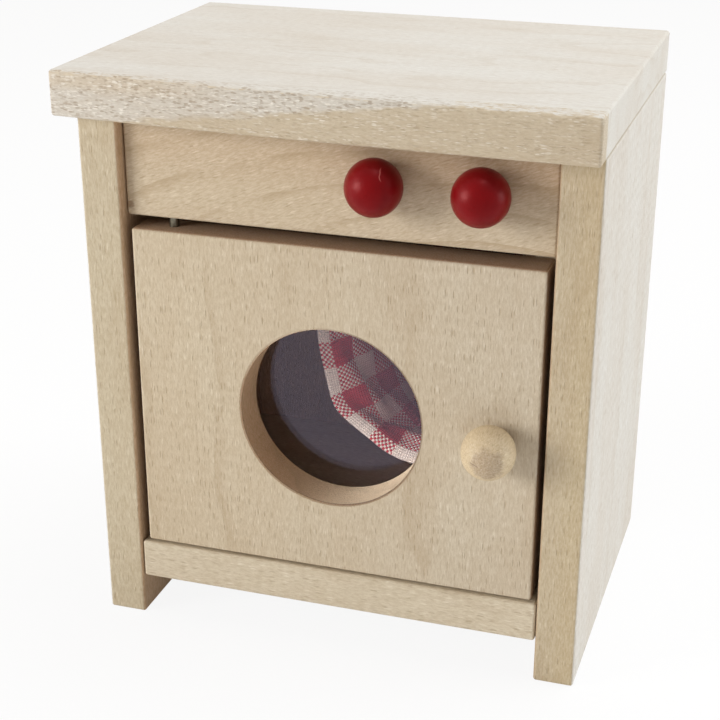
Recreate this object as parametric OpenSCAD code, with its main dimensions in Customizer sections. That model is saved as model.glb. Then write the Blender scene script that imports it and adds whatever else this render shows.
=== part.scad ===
// Small wooden toy washing machine: a box of plain boards with a pivot-hung door,
// a round window, two turning ball knobs and a piece of checked cloth inside.
// Millimetres, +Z up, front towards -Y, origin under the middle of the overall box.

/* [Cabinet] */
// Width across the two side panels
body_w = 75; // [66:0.5:90]
// Depth of the side panels
body_d = 55; // [50:0.5:70]
// Height to the top of the worktop
body_h = 86.5; // [84:0.5:104]
// Thickness of the side panels
side_t = 6; // [5:0.1:7.5]
// Rounding of the boards' edges
arris = 0.45; // [0.2:0.05:0.7]

/* [Worktop] */
// Thickness of the worktop
top_t = 6.5; // [5.5:0.1:8]
// How far the worktop stands out over the left side panel
over_left = 2.9; // [0.5:0.1:5]
// How far it stands out in front at its left end
over_front_left = 2; // [0.5:0.1:5]
// How far it stands out in front at its right end
over_front_right = 4.6; // [0.5:0.1:6]
// How far its front edge bows out between the ends
front_bow = 0.7; // [0:0.1:2]
// Rounding of its upper edge
top_arris = 0.5; // [0.4:0.1:2]

/* [Control panel] */
// Height of the control panel
panel_h = 14.5; // [12:0.5:16]
// Thickness of the control panel
panel_t = 6; // [5.5:0.1:7.5]
// How far it is set back behind the side panels' front edges
panel_set = 1.75; // [0.5:0.05:2]
// Free gap at each end of the control panel and the floor board
end_gap = 0.15; // [0.05:0.05:0.4]

/* [Floor board] */
// Height of the open space under the floor board
foot_h = 6.6; // [4:0.1:10]
// Thickness of the floor board
floor_t = 6.2; // [5:0.1:7.5]
// How far it is set back behind the side panels' front edges
floor_set = 0.2; // [0:0.1:1]

/* [Back panel] */
// Thickness of the plywood back panel, and depth of the rebates for it
back_t = 3; // [2:0.1:4]
// Width of the rebate in each side panel
rebate_w = 3; // [2:0.1:3.5]
// Free gap round the back panel
back_gap = 0.1; // [0.05:0.05:0.4]

/* [Door] */
// Thickness of the door
door_t = 6; // [5:0.1:7.5]
// How far it is set back behind the side panels' front edges
door_set = 0.6; // [0:0.1:1.5]
// Gap over the door
gap_top = 1.6; // [0.5:0.1:2.5]
// Gap under the door
gap_bottom = 0.3; // [0.2:0.1:1]
// Gap beside the door's free edge
gap_right = 1; // [0.5:0.1:2]
// From the door's left edge to the axis of its pivot pins
hinge_inset = 5.5; // [4.5:0.1:7]
// Free gap to the side panel as the door's hinge edge swings past it
swing_clear = 0.35; // [0.2:0.05:1]
// Width of the stop strip behind the door's free edge
stop_w = 4; // [2:0.5:6]
// Depth of the stop strip
stop_d = 4; // [3:0.5:6]
// Free gap between the closed door and its stop
stop_gap = 0.1; // [0.05:0.05:0.5]

/* [Window] */
// Diameter of the round window
window_d = 27.6; // [20:0.1:33]
// Window centre to the left of the door's middle
window_left = 0.4; // [-2:0.1:2]
// Window centre below the door's middle
window_down = 0.5; // [-2:0.1:2]
// How far the square pane behind it laps over its rim
pane_lap = 4.3; // [4:0.1:5]
// Thickness of the pane
pane_t = 1.2; // [0.8:0.1:2]
// From the pane's edges to its pins
pane_pin_inset = 2.5; // [2:0.1:3]

/* [Knobs and pull] */
// Diameter of the red ball knobs
knob_d = 8; // [6:0.1:10]
// Left knob's place to the right of the cabinet's middle
knob_x = 6.9; // [2:0.1:12]
// Distance between the two knobs
knob_pitch = 14.7; // [10:0.1:18]
// Knobs' height over the control panel's lower edge
knob_rise = 8.5; // [6:0.1:10]
// Diameter of the flat on the back of each ball
ball_flat_d = 3.6; // [3.2:0.1:4.5]
// Running gap between a knob and the control panel
knob_gap = 0.15; // [0.05:0.05:0.4]
// Diameter of the knobs' spindles
spindle_d = 2; // [1.5:0.1:2.5]
// Depth of a spindle in its knob
spindle_grip = 5; // [3:0.5:5.5]
// Diameter of the spindle's head behind the panel
head_d = 4; // [3:0.1:5]
// Thickness of that head
head_t = 1.2; // [0.8:0.1:2]
// Diameter of the washer under the head
washer_d = 5; // [4:0.1:6]
// Thickness of the washer
washer_t = 0.5; // [0.3:0.1:1]
// Diameter of the door's ball pull
pull_d = 7.8; // [6:0.1:10]
// Pull's centre from the door's free edge
pull_inset = 6.4; // [5:0.1:8]
// Pull's centre below the door's middle
pull_down = 0.7; // [-5:0.1:5]
// Diameter of the pull's peg
peg_d = 3; // [2:0.1:3.2]
// Depth of the peg in the ball
peg_grip = 5; // [3:0.5:5.5]
// Wood left between the peg's hole and the back of the door
peg_stop = 1.2; // [0.6:0.1:2]

/* [Fasteners] */
// Diameter of the door's pivot pins
pin_d = 1.4; // [1:0.1:1.8]
// Depth of each pivot pin in the door
pin_grip = 6; // [4:0.5:8]
// Diameter of a pivot pin's head
pin_head_d = 2.8; // [2:0.1:3.4]
// Thickness of a pivot pin's head
pin_head_t = 0.7; // [0.4:0.1:1]
// Radial clearance of everything that turns on or in another piece
run_fit = 0.07; // [0.02:0.01:0.1]
// Clearance round everything that is glued or driven in
glue_fit = 0.02; // [0.01:0.01:0.05]
// Diameter of the glued dowels
dowel_d = 3; // [2:0.1:3.4]
// Depth of a dowel in the worktop
dowel_in_top = 4; // [3:0.5:5]
// Depth of a dowel in the edge or end of a board
dowel_in_edge = 6; // [4:0.5:8]
// Depth of a dowel in the face of a side panel
dowel_in_face = 3.5; // [2.5:0.1:4]
// Depth of a dowel in the end of the control panel
dowel_in_panel = 4; // [3:0.5:4.5]
// From a board's front or back edge to the nearest dowel
dowel_inset = 11; // [9:0.5:14]
// Diameter of the small nails
nail_d = 0.9; // [0.7:0.1:1.2]
// Diameter of their heads
nail_head_d = 1.9; // [1.5:0.1:2.2]
// Thickness of their heads
nail_head_t = 0.4; // [0.3:0.1:0.6]
// Length of the nails in the back panel
nail_l = 7; // [6:0.5:8]
// Length of the pins in the pane
pane_pin_l = 4.5; // [3:0.5:5]

/* [Cloth] */
// Width of the rolled cloth
roll_w = 36; // [28:0.5:38]
// Height of the roll over the floor board
roll_h = 44; // [30:0.5:46]
// From the cabinet's front to the roll's front edge
roll_y = 11; // [10.6:0.1:20]
// Gap between the roll and the walls behind and beside it
cloth_gap = 1.4; // [1:0.1:3]
// Thickness of the roll's rim
cloth_t = 1.6; // [1:0.1:2.5]
// Depth of the hollow inside the rim
roll_mouth = 3; // [1:0.5:3.5]

/* [Hidden] */

$fn = 48;
// Sides of the small balls that round a board's corners
corner_fn = 24;
// A cut runs past the face that it opens by this much
past = 1;

maple = [0.86, 0.78, 0.62];
beech_ball = [0.88, 0.76, 0.54];
plywood = [0.80, 0.69, 0.50];
red_lacquer = [0.62, 0.03, 0.05];
steel = [0.72, 0.72, 0.72];
brass = [0.78, 0.62, 0.30];
clear = [0.85, 0.90, 0.92, 0.4];
cloth_red = [0.70, 0.22, 0.24];

inner_w = body_w - 2 * side_t;
under_top = body_h - top_t;
floor_top = foot_h + floor_t;
panel_z = under_top - panel_h;
panel_back = panel_set + panel_t;

gap_left = norm([hinge_inset, door_t / 2]) - hinge_inset + swing_clear;
door_x0 = -inner_w / 2 + gap_left;
door_x1 = inner_w / 2 - gap_right;
door_z0 = floor_top + gap_bottom;
door_z1 = panel_z - gap_top;
door_back = door_set + door_t;
pivot_x = door_x0 + hinge_inset;
pivot_y = door_set + door_t / 2;
pane_w = window_d + 2 * pane_lap;
window_x = (door_x0 + door_x1) / 2 - window_left;
window_z = (door_z0 + door_z1) / 2 - window_down;

knob_z = panel_z + knob_rise;
knob_xs = [knob_x, knob_x + knob_pitch];
pull_x = door_x1 - pull_inset;
pull_z = (door_z0 + door_z1) / 2 - pull_down;

// How far a ball's centre lies in front of the flat on its back
function seat_of(ball_d) = sqrt(pow(ball_d / 2, 2) - pow(ball_flat_d / 2, 2));
// How far the pull stands in front of the side panels' front edges
pull_reach = pull_d / 2 + seat_of(pull_d) - door_set;
reach = max(pull_reach, over_front_right, over_front_left);

side_mid = body_w / 2 - side_t / 2;
dowel_ys = [dowel_inset, body_d - dowel_inset];
panel_dowel_zs = [panel_z + panel_h * 0.27, panel_z + panel_h * 0.73];
back_z0 = foot_h;
back_z1 = under_top - back_gap;
nail_zs = [foot_h + 14, (foot_h + under_top) / 2, under_top - 14];
nail_side_x = inner_w / 2 + rebate_w / 2;
nail_floor_xs = [-inner_w / 3, 0, inner_w / 3];

// From the side panels' front edges and the cabinet's middle to the part's own frame
module in_frame() {
    translate([over_left / 2, (reach - body_d) / 2, 0]) children();
}

// Board with all its edges rounded, from one corner to the opposite one
module board(low, high, r = arris) {
    hull()
        for (x = [low[0] + r, high[0] - r], y = [low[1] + r, high[1] - r], z = [low[2] + r, high[2] - r])
            translate([x, y, z]) sphere(r, $fn = corner_fn);
}

// Cylinder along +Y that starts at y = 0
module along_y(d, l) {
    rotate([-90, 0, 0]) cylinder(d = d, h = l);
}

// Nail along +Y with its head's outer face at y = 0
module nail(l, grow = 0) {
    along_y(nail_d + 2 * grow, l + grow);
    along_y(nail_head_d + 2 * grow, nail_head_t + grow);
}

// Straight dowel along +X, centred
module dowel(l, grow = 0) {
    rotate([0, 90, 0]) cylinder(d = dowel_d + 2 * grow, h = l + 2 * grow, center = true);
}

// Front edge of the worktop: its reach over the panels at a share s of its length
function top_front(s) = over_front_left + (over_front_right - over_front_left) * s
    + front_bow * 4 * s * (1 - s);

module worktop_dowel_set(grow = 0) {
    l = dowel_in_top + dowel_in_edge;
    for (x = [-side_mid, side_mid], y = dowel_ys)
        translate([x, y, under_top + dowel_in_top - l / 2]) rotate([0, 90, 0]) dowel(l, grow);
}

module floor_dowel_set(grow = 0) {
    l = dowel_in_face + dowel_in_edge;
    for (side = [-1, 1], y = dowel_ys)
        translate([side * (inner_w / 2 + dowel_in_face - l / 2), y, foot_h + floor_t / 2]) dowel(l, grow);
}

module panel_dowel_set(grow = 0) {
    l = dowel_in_face + dowel_in_panel;
    for (side = [-1, 1], z = panel_dowel_zs)
        translate([side * (inner_w / 2 + dowel_in_face - l / 2), panel_set + panel_t / 2, z]) dowel(l, grow);
}

module back_nail_set(grow = 0) {
    for (side = [-1, 1], z = nail_zs)
        translate([side * nail_side_x, body_d, z]) mirror([0, 1, 0]) nail(nail_l, grow);
    for (x = nail_floor_xs)
        translate([x, body_d, foot_h + floor_t / 2]) mirror([0, 1, 0]) nail(nail_l, grow);
}

module pane_pin_set(grow = 0) {
    step = pane_w / 2 - pane_pin_inset;
    for (x = [-step, step], z = [-step, step])
        translate([window_x + x, door_back + pane_t + nail_head_t, window_z + z])
            mirror([0, 1, 0]) nail(pane_pin_l, grow);
}

// Pivot pin that points up, with its head's lower face at z = 0
module pivot_pin(l, grow = 0) {
    cylinder(d = pin_d + 2 * grow, h = l);
    translate([0, 0, -grow]) cylinder(d = pin_head_d + 2 * grow, h = pin_head_t + 2 * grow);
}

module top_pin_place() {
    translate([pivot_x, pivot_y, under_top - glue_fit]) mirror([0, 0, 1]) children();
}

module bottom_pin_place() {
    translate([pivot_x, pivot_y, foot_h]) children();
}

module worktop() {
    x0 = -body_w / 2 - over_left;
    x1 = body_w / 2;
    steps = 8;
    color(maple) in_frame() difference() {
        hull()
            for (level = [[under_top, 1, arris], [body_h, -1, top_arris]], i = [0:steps]) {
                r = level[2];
                x = x0 + r + (x1 - x0 - 2 * r) * i / steps;
                z = level[0] + level[1] * r;
                translate([x, -top_front(i / steps) + r, z]) sphere(r, $fn = corner_fn);
                if (i == 0 || i == steps)
                    translate([x, body_d - r, z]) sphere(r, $fn = corner_fn);
            }
        worktop_dowel_set(glue_fit);
    }
}

// Right side panel, before it is placed
module side_panel() {
    inner = inner_w / 2;
    difference() {
        board([inner, 0, 0], [body_w / 2, body_d, under_top]);
        translate([inner - past, body_d - back_t, -past])
            cube([rebate_w + past, back_t + past, body_h]);
        worktop_dowel_set(glue_fit);
        floor_dowel_set(glue_fit);
        panel_dowel_set(glue_fit);
        back_nail_set(glue_fit);
    }
}

module side_panel_left() { color(maple) in_frame() mirror([1, 0, 0]) side_panel(); }

module side_panel_right() { color(maple) in_frame() side_panel(); }

module control_panel() {
    half = inner_w / 2 - end_gap;
    color(maple) in_frame() difference() {
        board([-half, panel_set, panel_z], [half, panel_back, under_top - glue_fit]);
        for (x = knob_xs)
            translate([x, panel_set - past, knob_z]) along_y(spindle_d + 2 * run_fit, panel_t + 2 * past);
        top_pin_place() pivot_pin(panel_h + past, glue_fit);
        panel_dowel_set(glue_fit);
    }
}

module floor_board() {
    half = inner_w / 2 - end_gap;
    color(maple) in_frame() difference() {
        board([-half, floor_set, foot_h], [half, body_d - back_t - glue_fit, floor_top]);
        bottom_pin_place() pivot_pin(floor_t + past, glue_fit);
        floor_dowel_set(glue_fit);
        back_nail_set(glue_fit);
    }
}

module back_panel() {
    half = inner_w / 2 + rebate_w - back_gap;
    color(plywood) in_frame() difference() {
        translate([-half, body_d - back_t, back_z0]) cube([2 * half, back_t, back_z1 - back_z0]);
        back_nail_set(glue_fit);
    }
}

module door_stop() {
    color(maple) in_frame()
        translate([inner_w / 2 - stop_w, door_back + stop_gap, floor_top])
            cube([stop_w, stop_d, panel_z - floor_top]);
}

module worktop_dowels() { color(beech_ball) in_frame() worktop_dowel_set(); }

module floor_dowels() { color(beech_ball) in_frame() floor_dowel_set(); }

module panel_dowels() { color(beech_ball) in_frame() panel_dowel_set(); }

module back_nails() { color(steel) in_frame() back_nail_set(); }

module hinge_pin_top() {
    color(steel) in_frame() top_pin_place() pivot_pin(panel_h + gap_top + pin_grip - glue_fit);
}

module hinge_pin_bottom() {
    color(steel) in_frame() bottom_pin_place() pivot_pin(floor_t + gap_bottom + pin_grip);
}

module door() {
    hole = pin_d + 2 * run_fit;
    depth = pin_grip + run_fit;
    color(maple) in_frame() difference() {
        board([door_x0, door_set, door_z0], [door_x1, door_back, door_z1]);
        translate([window_x, door_set - past, window_z]) along_y(window_d, door_t + 2 * past);
        translate([pivot_x, pivot_y, door_z0 - past]) cylinder(d = hole, h = depth + past);
        translate([pivot_x, pivot_y, door_z1 - depth]) cylinder(d = hole, h = depth + past);
        translate([pull_x, door_set - past, pull_z])
            along_y(peg_d + 2 * glue_fit, door_t - peg_stop + past);
        pane_pin_set(glue_fit);
    }
}

module window_pane() {
    color(clear) in_frame() difference() {
        translate([window_x - pane_w / 2, door_back, window_z - pane_w / 2])
            cube([pane_w, pane_t, pane_w]);
        pane_pin_set(glue_fit);
    }
}

module pane_pins() { color(brass) in_frame() pane_pin_set(); }

// Ball with a flat on its back and a blind hole there, its flat at y = 0 and its nose towards -Y
module drilled_ball(ball_d, hole_d, hole_l) {
    r = ball_d / 2;
    difference() {
        translate([0, -seat_of(ball_d), 0]) rotate([90, 0, 0]) rotate_extrude()
            intersection() {
                circle(r);
                translate([0, -seat_of(ball_d)]) square([r, r + seat_of(ball_d)]);
            }
        translate([0, -hole_l, 0]) along_y(hole_d, hole_l + past);
    }
}

module door_pull() {
    color(beech_ball) in_frame() translate([pull_x, door_set, pull_z])
        drilled_ball(pull_d, peg_d + 2 * glue_fit, peg_grip + glue_fit);
}

module door_pull_peg() {
    depth = door_t - peg_stop - glue_fit;
    color(beech_ball) in_frame() translate([pull_x, door_set - peg_grip, pull_z])
        along_y(peg_d, peg_grip + depth);
}

module knob(i) {
    color(red_lacquer) in_frame() translate([knob_xs[i], panel_set - knob_gap, knob_z])
        drilled_ball(knob_d, spindle_d + 2 * glue_fit, spindle_grip + glue_fit);
}

module knob_screw(i) {
    shank = spindle_grip + knob_gap + panel_t + washer_t + knob_gap;
    slot_w = head_d / 6;
    color(steel) in_frame() translate([knob_xs[i], panel_set - knob_gap - spindle_grip, knob_z])
        difference() {
            union() {
                along_y(spindle_d, shank + head_t / 2);
                translate([0, shank, 0]) along_y(head_d, head_t);
            }
            translate([-head_d, shank + head_t / 2, -slot_w / 2]) cube([2 * head_d, head_t, slot_w]);
        }
}

module knob_washer(i) {
    color(brass) in_frame() translate([knob_xs[i], panel_back, knob_z]) difference() {
        along_y(washer_d, washer_t);
        translate([0, -past, 0]) along_y(spindle_d + 2 * run_fit, washer_t + 2 * past);
    }
}

module knob_left() { knob(0); }

module knob_right() { knob(1); }

module knob_screw_left() { knob_screw(0); }

module knob_screw_right() { knob_screw(1); }

module knob_washer_left() { knob_washer(0); }

module knob_washer_right() { knob_washer(1); }

// Outline of the rolled cloth seen from the front, in shares of its width and height
roll_corners = [[0.10, 0], [0.09, 0.22], [0.01, 0.52], [0, 0.74], [0.05, 0.9], [0.18, 0.98],
    [0.45, 1], [0.78, 0.97], [0.95, 0.84], [1, 0.66], [1, 0.12], [0.96, 0.02], [0.88, 0]];

// Closed outline with its corners cut the given number of times
function rounded(points, rounds) = rounds == 0 ? points : rounded(
    [for (i = [0:len(points) - 1]) let (next = points[(i + 1) % len(points)]) each [
        points[i] * 0.75 + next * 0.25,
        points[i] * 0.25 + next * 0.75]], rounds - 1);

// The outline moved in towards its middle
function drawn_in(points, by, middle) =
    [for (p = points) let (arm = p - middle) middle + arm * (1 - by / norm(arm))];

// Prism with this outline from the plane y0 to the plane y1
module prism_y(outline, y0, y1) {
    translate([0, y1, 0]) rotate([90, 0, 0]) linear_extrude(height = y1 - y0) polygon(outline);
}

// Piece of checked cloth, loosely rolled, that stands on the floor board
module laundry_cloth() {
    x0 = inner_w / 2 - cloth_gap - roll_w;
    outline = [for (p = rounded(roll_corners, 2))
        [x0 + p[0] * roll_w, floor_top + p[1] * roll_h]];
    inside = drawn_in(outline, cloth_t, [x0 + roll_w / 2, floor_top + roll_h / 2]);
    color(cloth_red) in_frame() difference() {
        prism_y(outline, roll_y, body_d - back_t - cloth_gap);
        prism_y(inside, roll_y - past, roll_y + roll_mouth);
    }
}

worktop();
side_panel_left();
side_panel_right();
control_panel();
floor_board();
back_panel();
door_stop();
worktop_dowels();
floor_dowels();
panel_dowels();
back_nails();
hinge_pin_top();
hinge_pin_bottom();
door();
window_pane();
pane_pins();
door_pull();
door_pull_peg();
knob_left();
knob_right();
knob_screw_left();
knob_screw_right();
knob_washer_left();
knob_washer_right();
laundry_cloth();
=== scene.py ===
"""Finishes, laundry and stage for a small wooden toy washing machine.

Run as a script inside Blender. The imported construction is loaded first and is
never moved; every board keeps its shape and gets its grain here.
Lengths are metres, unless a name ends in _mm.
"""

import math

import bmesh
import bpy
from bpy.props import FloatProperty, FloatVectorProperty, PointerProperty
from bpy.types import Operator, Panel, PropertyGroup
from mathutils import Matrix, Vector


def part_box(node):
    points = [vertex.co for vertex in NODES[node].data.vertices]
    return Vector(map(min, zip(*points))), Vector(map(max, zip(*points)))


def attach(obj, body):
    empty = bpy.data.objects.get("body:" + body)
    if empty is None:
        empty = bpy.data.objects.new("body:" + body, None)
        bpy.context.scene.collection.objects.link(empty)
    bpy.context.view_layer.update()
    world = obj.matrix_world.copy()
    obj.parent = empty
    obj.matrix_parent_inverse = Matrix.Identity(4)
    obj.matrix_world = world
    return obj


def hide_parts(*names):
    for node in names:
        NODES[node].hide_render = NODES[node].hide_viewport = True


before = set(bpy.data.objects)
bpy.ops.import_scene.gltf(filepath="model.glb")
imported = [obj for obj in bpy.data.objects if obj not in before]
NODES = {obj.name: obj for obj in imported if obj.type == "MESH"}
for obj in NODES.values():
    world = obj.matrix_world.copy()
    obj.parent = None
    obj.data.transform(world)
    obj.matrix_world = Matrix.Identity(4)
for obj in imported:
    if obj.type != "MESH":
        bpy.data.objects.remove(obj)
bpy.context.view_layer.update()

bl_info = {
    "name": "Toy washing machine finishes",
    "version": (1, 0, 0),
    "blender": (4, 5, 0),
    "location": "3D View > Sidebar > Toy Washer",
    "description": "Wood, lacquer, glass and cloth for a toy washing machine",
    "category": "Material",
}

MM = 0.001
PER_MM = 1000.0
TO_MM = (PER_MM, PER_MM, PER_MM)
WINDOW_RADIUS_MM = 13.8
FLECK_FILL = 0.6  # how much of its cell one fleck takes up
# what the materials mix into their settings' colours
TINTS = {
    # painted shade: the left side panel's inner face, darkened and warmed as if in the
    # cabinet's shade
    "painted left inner shade": (0.60, 0.41, 0.25),
    # painted shade: the right side panel's inner face, darkened so that its edge beside the
    # door stays dim
    "painted right inner shade": (0.42, 0.29, 0.18),
    "dark fibre": (0.30, 0.20, 0.115),
    "pale fibre": (1.0, 0.97, 0.90),
    "cloud": (0.47, 0.34, 0.21),
    # painted highlight: pale glints where fibres seem to catch the light
    "glint": (1.36, 1.45, 1.62),
    "gold band": (0.62, 0.49, 0.32),
    "dark chip": (0.26, 0.17, 0.09),
    "pale chip": (0.95, 0.92, 0.85),
    # painted light for the door: warm light from the left, cool light from the right
    "painted warm light": (0.64, 0.53, 0.33),
    "painted cool light": (0.56, 0.53, 0.46),
    # painted highlight: a paler line along the door's side arrises
    "painted edge highlight": (0.80, 0.72, 0.56),
    # painted shade: the door's side edges, darkened as if in the shade of the gaps beside the
    # door
    "painted gap shade": (0.25, 0.155, 0.095),
    # darker end grain on the door's top edge, deepened by painted shade from the gap above it
    "end grain and gap shade": (0.37, 0.235, 0.15),
    # painted shade: the right side panel's front, yellower toward its outer edge
    "painted_outer_shade": (0.56, 0.46, 0.285),
    # painted shade: the control panel under the worktop's overhang
    "painted overhang shade": (0.47, 0.31, 0.19),
    "dent": (0.25, 0.155, 0.09),
    "bore in shade": (0.62, 0.40, 0.235),
    "bore in light": (0.92, 0.75, 0.55),
    "turning line": (0.40, 0.26, 0.15),
    "scorched rim": (0.26, 0.13, 0.05),
    # painted shade: a dark line at the bore's front edge
    "painted bore edge shade": (0.13, 0.07, 0.04),
    "dark end grain": (0.36, 0.26, 0.165),
    "pale end grain": (0.52, 0.41, 0.28),
    "crack": (0.16, 0.09, 0.05),
    "scratch": (0.75, 0.22, 0.20),
    # painted shade in the hollows between the cloth's threads
    "painted weave shade": (0.10, 0.03, 0.03),
    # painted shade: the cloth deeper in the cabinet
    "painted inner cloth shade": (0.30, 0.10, 0.13),
}


# ---------------------------------------------------------------- settings


def colour(name, description, default):
    """A colour setting."""
    return FloatVectorProperty(
        name=name,
        description=description,
        subtype="COLOR",
        size=3,
        min=0.0,
        max=1.0,
        default=default,
    )


def number(name, description, default, **kind):
    """A setting that holds one number of some kind."""
    return FloatProperty(name=name, description=description, default=default, **kind)


def length(name, description, default):
    """A length setting in metres."""
    return number(name, description, default, unit="LENGTH", min=0.0)


def angle(name, description, degrees):
    """An angle setting."""
    return number(name, description, math.radians(degrees), subtype="ANGLE")


def share(name, description, default):
    """A setting between 0 and 1."""
    return number(name, description, default, subtype="FACTOR", min=0.0, max=1.0)


class WoodSettings(PropertyGroup):
    """The pale board that the cabinet and the door are cut from."""

    board: colour("Board", "Colour of a sanded face", (0.62, 0.530, 0.390))
    # painted light: the tops, ends and outer sides are paler than the front edges of the same
    # boards, as lit copies of the board colour
    pale: colour("Pale face", "Colour of the top and the outer sides", (0.67, 0.648, 0.60))
    line: colour("Growth line", "Colour of the growth lines", (0.40, 0.29, 0.17))
    fleck: colour("Fleck", "Colour of the short ray flecks", (0.36, 0.25, 0.14))
    turned: colour("Turned wood", "Colour of the pull, pegs and dowels", (0.68, 0.55, 0.35))
    plywood: colour("Plywood", "Colour of the back panel's veneer", (0.62, 0.425, 0.265))
    fleck_length: length("Fleck length", "Length of a fleck along the grain", 0.0011)
    fleck_width: length("Fleck width", "Width of a fleck across the grain", 0.00017)
    roughness: share("Roughness", "Roughness of a sanded face", 0.62)


class LacquerSettings(PropertyGroup):
    """The red lacquer of the two knobs."""

    red: colour("Red", "Colour of the lacquer", (0.205, 0.003, 0.005))
    shine: colour("Shine", "Colour of what the lacquer mirrors", (1.0, 0.38, 0.38))
    roughness: share("Roughness", "Roughness of the lacquer", 0.34)


class MetalSettings(PropertyGroup):
    """The nails, pins, screws and washers."""

    steel: colour("Steel", "Colour of the steel", (0.24, 0.22, 0.17))
    brass: colour("Brass", "Colour of the brass", (0.75, 0.55, 0.26))
    roughness: share("Roughness", "Roughness of the metal", 0.32)


class PaneSettings(PropertyGroup):
    """The clear sheet behind the window."""

    tint: colour("Tint", "Colour of the light that passes", (1.0, 0.93, 0.885))
    shine: colour("Shine", "Colour of what the sheet mirrors", (0.72, 0.66, 0.90))
    refraction: number("Refraction", "Index of refraction", 1.49, min=1.0)


class ClothSettings(PropertyGroup):
    """The checked cloth inside."""

    red: colour("Red", "Colour of the red thread", (0.62, 0.03, 0.055))
    white: colour("White", "Colour of the white thread", (0.97, 0.92, 0.92))
    check: length("Check", "Width of one stripe", 0.0044)
    thread: length("Thread", "Distance between two threads", 0.0004)
    thickness: length("Thickness", "Thickness of the cloth", 0.0003)


class StageSettings(PropertyGroup):
    """The floor, the light and the camera."""

    floor: colour("Floor", "Colour of the floor", (0.86, 0.86, 0.86))
    camera_place: FloatVectorProperty(
        name="Camera",
        description="Where the camera stands",
        subtype="TRANSLATION",
        size=3,
        default=(0.06896, -0.21963, 0.13310),
    )
    heading: angle("Heading", "Turn of the camera from the front", -17.285)
    tilt: angle("Tilt", "How far the camera looks down", 23.927)
    roll: angle("Roll", "Turn of the camera about its own axis", 0.338)
    lens: number("Lens", "Focal length", 78.665, subtype="DISTANCE_CAMERA")
    sky: number("Sky", "Strength of the even light", 0.31, min=0.0)
    sky_tint: colour("Sky tint", "Colour of the even light", (1.0, 0.865, 0.75))
    top_lamp: number("Top lamp", "Power of the top lamp", 3.3, subtype="POWER")
    right_lamp: number("Right lamp", "Power of the right lamp", 3.3, subtype="POWER")
    left_lamp: number("Left lamp", "Power of the left lamp", 4.7, subtype="POWER")


# ---------------------------------------------------------------- material nodes


class Finish:
    """The nodes of one material, and short ways to add to them."""

    def __init__(self, name):
        self.material = bpy.data.materials.new(name)
        self.material.use_nodes = True
        self.tree = self.material.node_tree
        self.tree.nodes.clear()
        self.shader = self.add("ShaderNodeBsdfPrincipled")
        end = self.add("ShaderNodeOutputMaterial")
        self.tree.links.new(self.shader.outputs[0], end.inputs["Surface"])

    def put(self, socket, value):
        """Links a socket to another one, or writes a number or colour on it."""
        if isinstance(value, bpy.types.NodeSocket):
            self.tree.links.new(value, socket)
        elif socket.type == "RGBA":
            socket.default_value = (*value[:3], 1.0)
        else:
            socket.default_value = value

    def add(self, kind, inputs=None, **settings):
        """Adds one node."""
        node = self.tree.nodes.new(kind)
        for key, value in settings.items():
            setattr(node, key, value)
        for key, value in (inputs or {}).items():
            self.put(node.inputs[key], value)
        return node

    def set(self, **inputs):
        """Sets the shader's own sockets; a name's underscores stand for spaces."""
        for key, value in inputs.items():
            self.put(self.shader.inputs[key.replace("_", " ")], value)

    def maths(self, operation, *values):
        """One sum on numbers."""
        node = self.add("ShaderNodeMath", operation=operation)
        for socket, value in zip(node.inputs, values):
            self.put(socket, value)
        return node.outputs[0]

    def times(self, product, *values):
        """Numbers multiplied in turn."""
        for value in values:
            product = self.maths("MULTIPLY", product, value)
        return product

    def vector(self, operation, *values):
        """One sum on vectors."""
        node = self.add("ShaderNodeVectorMath", operation=operation)
        for socket, value in zip(node.inputs, values):
            self.put(socket, value)
        return node.outputs["Value" if operation in ("LENGTH", "DISTANCE") else 0]

    def span(self, value, low, high, to_low=0.0, to_high=1.0, smooth=True):
        """A number brought from one range to another."""
        node = self.add(
            "ShaderNodeMapRange",
            {0: value, 1: low, 2: high, 3: to_low, 4: to_high},
            interpolation_type="SMOOTHSTEP" if smooth else "LINEAR",
        )
        return node.outputs[0]

    def mix(self, factor, first, second, blend="MIX"):
        """Two colours mixed."""
        node = self.add("ShaderNodeMix", data_type="RGBA", blend_type=blend)
        self.put(node.inputs[0], factor)
        self.put(node.inputs[6], first)
        self.put(node.inputs[7], second)
        return node.outputs[2]

    def noise(self, place, scale=1.0, detail=2.0, roughness=0.5):
        """Soft noise between 0 and 1."""
        node = self.add(
            "ShaderNodeTexNoise",
            {"Vector": place, "Scale": scale, "Detail": detail, "Roughness": roughness},
        )
        return node.outputs[0]

    def stretched(self, place, scale, shift=(0.0, 0.0, 0.0), turn=0.0):
        """A place scaled by a vector, turned about the third axis, then shifted."""
        node = self.add(
            "ShaderNodeMapping",
            {"Vector": place, "Scale": scale, "Location": shift, "Rotation": (0.0, 0.0, turn)},
        )
        return node.outputs[0]

    def axes(self):
        """Object coordinates in metres, one socket for each axis."""
        source = self.add("ShaderNodeTexCoord").outputs["Object"]
        return dict(zip("XYZ", self.add("ShaderNodeSeparateXYZ", {0: source}).outputs))

    def joined(self, parts):
        """One vector from numbers by their place in it."""
        return self.add("ShaderNodeCombineXYZ", parts).outputs[0]

    def place_mm(self, order="XYZ", shift=(0.0, 0.0, 0.0)):
        """Object coordinates in mm, as (along the grain, across, through)."""
        axes = self.axes()
        source = self.joined({i: axes[name] for i, name in enumerate(order)})
        return self.stretched(source, TO_MM, shift)

    def bump(self, height, strength, distance):
        """Relief from a height."""
        node = self.add(
            "ShaderNodeBump",
            {"Height": height, "Strength": strength, "Distance": distance},
        )
        self.put(self.shader.inputs["Normal"], node.outputs[0])


def settings(name):
    """One group of this scene's settings."""
    return getattr(bpy.context.scene, "toy_washer_" + name)


def dress(node, finish):
    """Gives a CAD node its finish."""
    for slot in NODES[node].material_slots:
        slot.material = finish.material


# ---------------------------------------------------------------- wood


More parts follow.
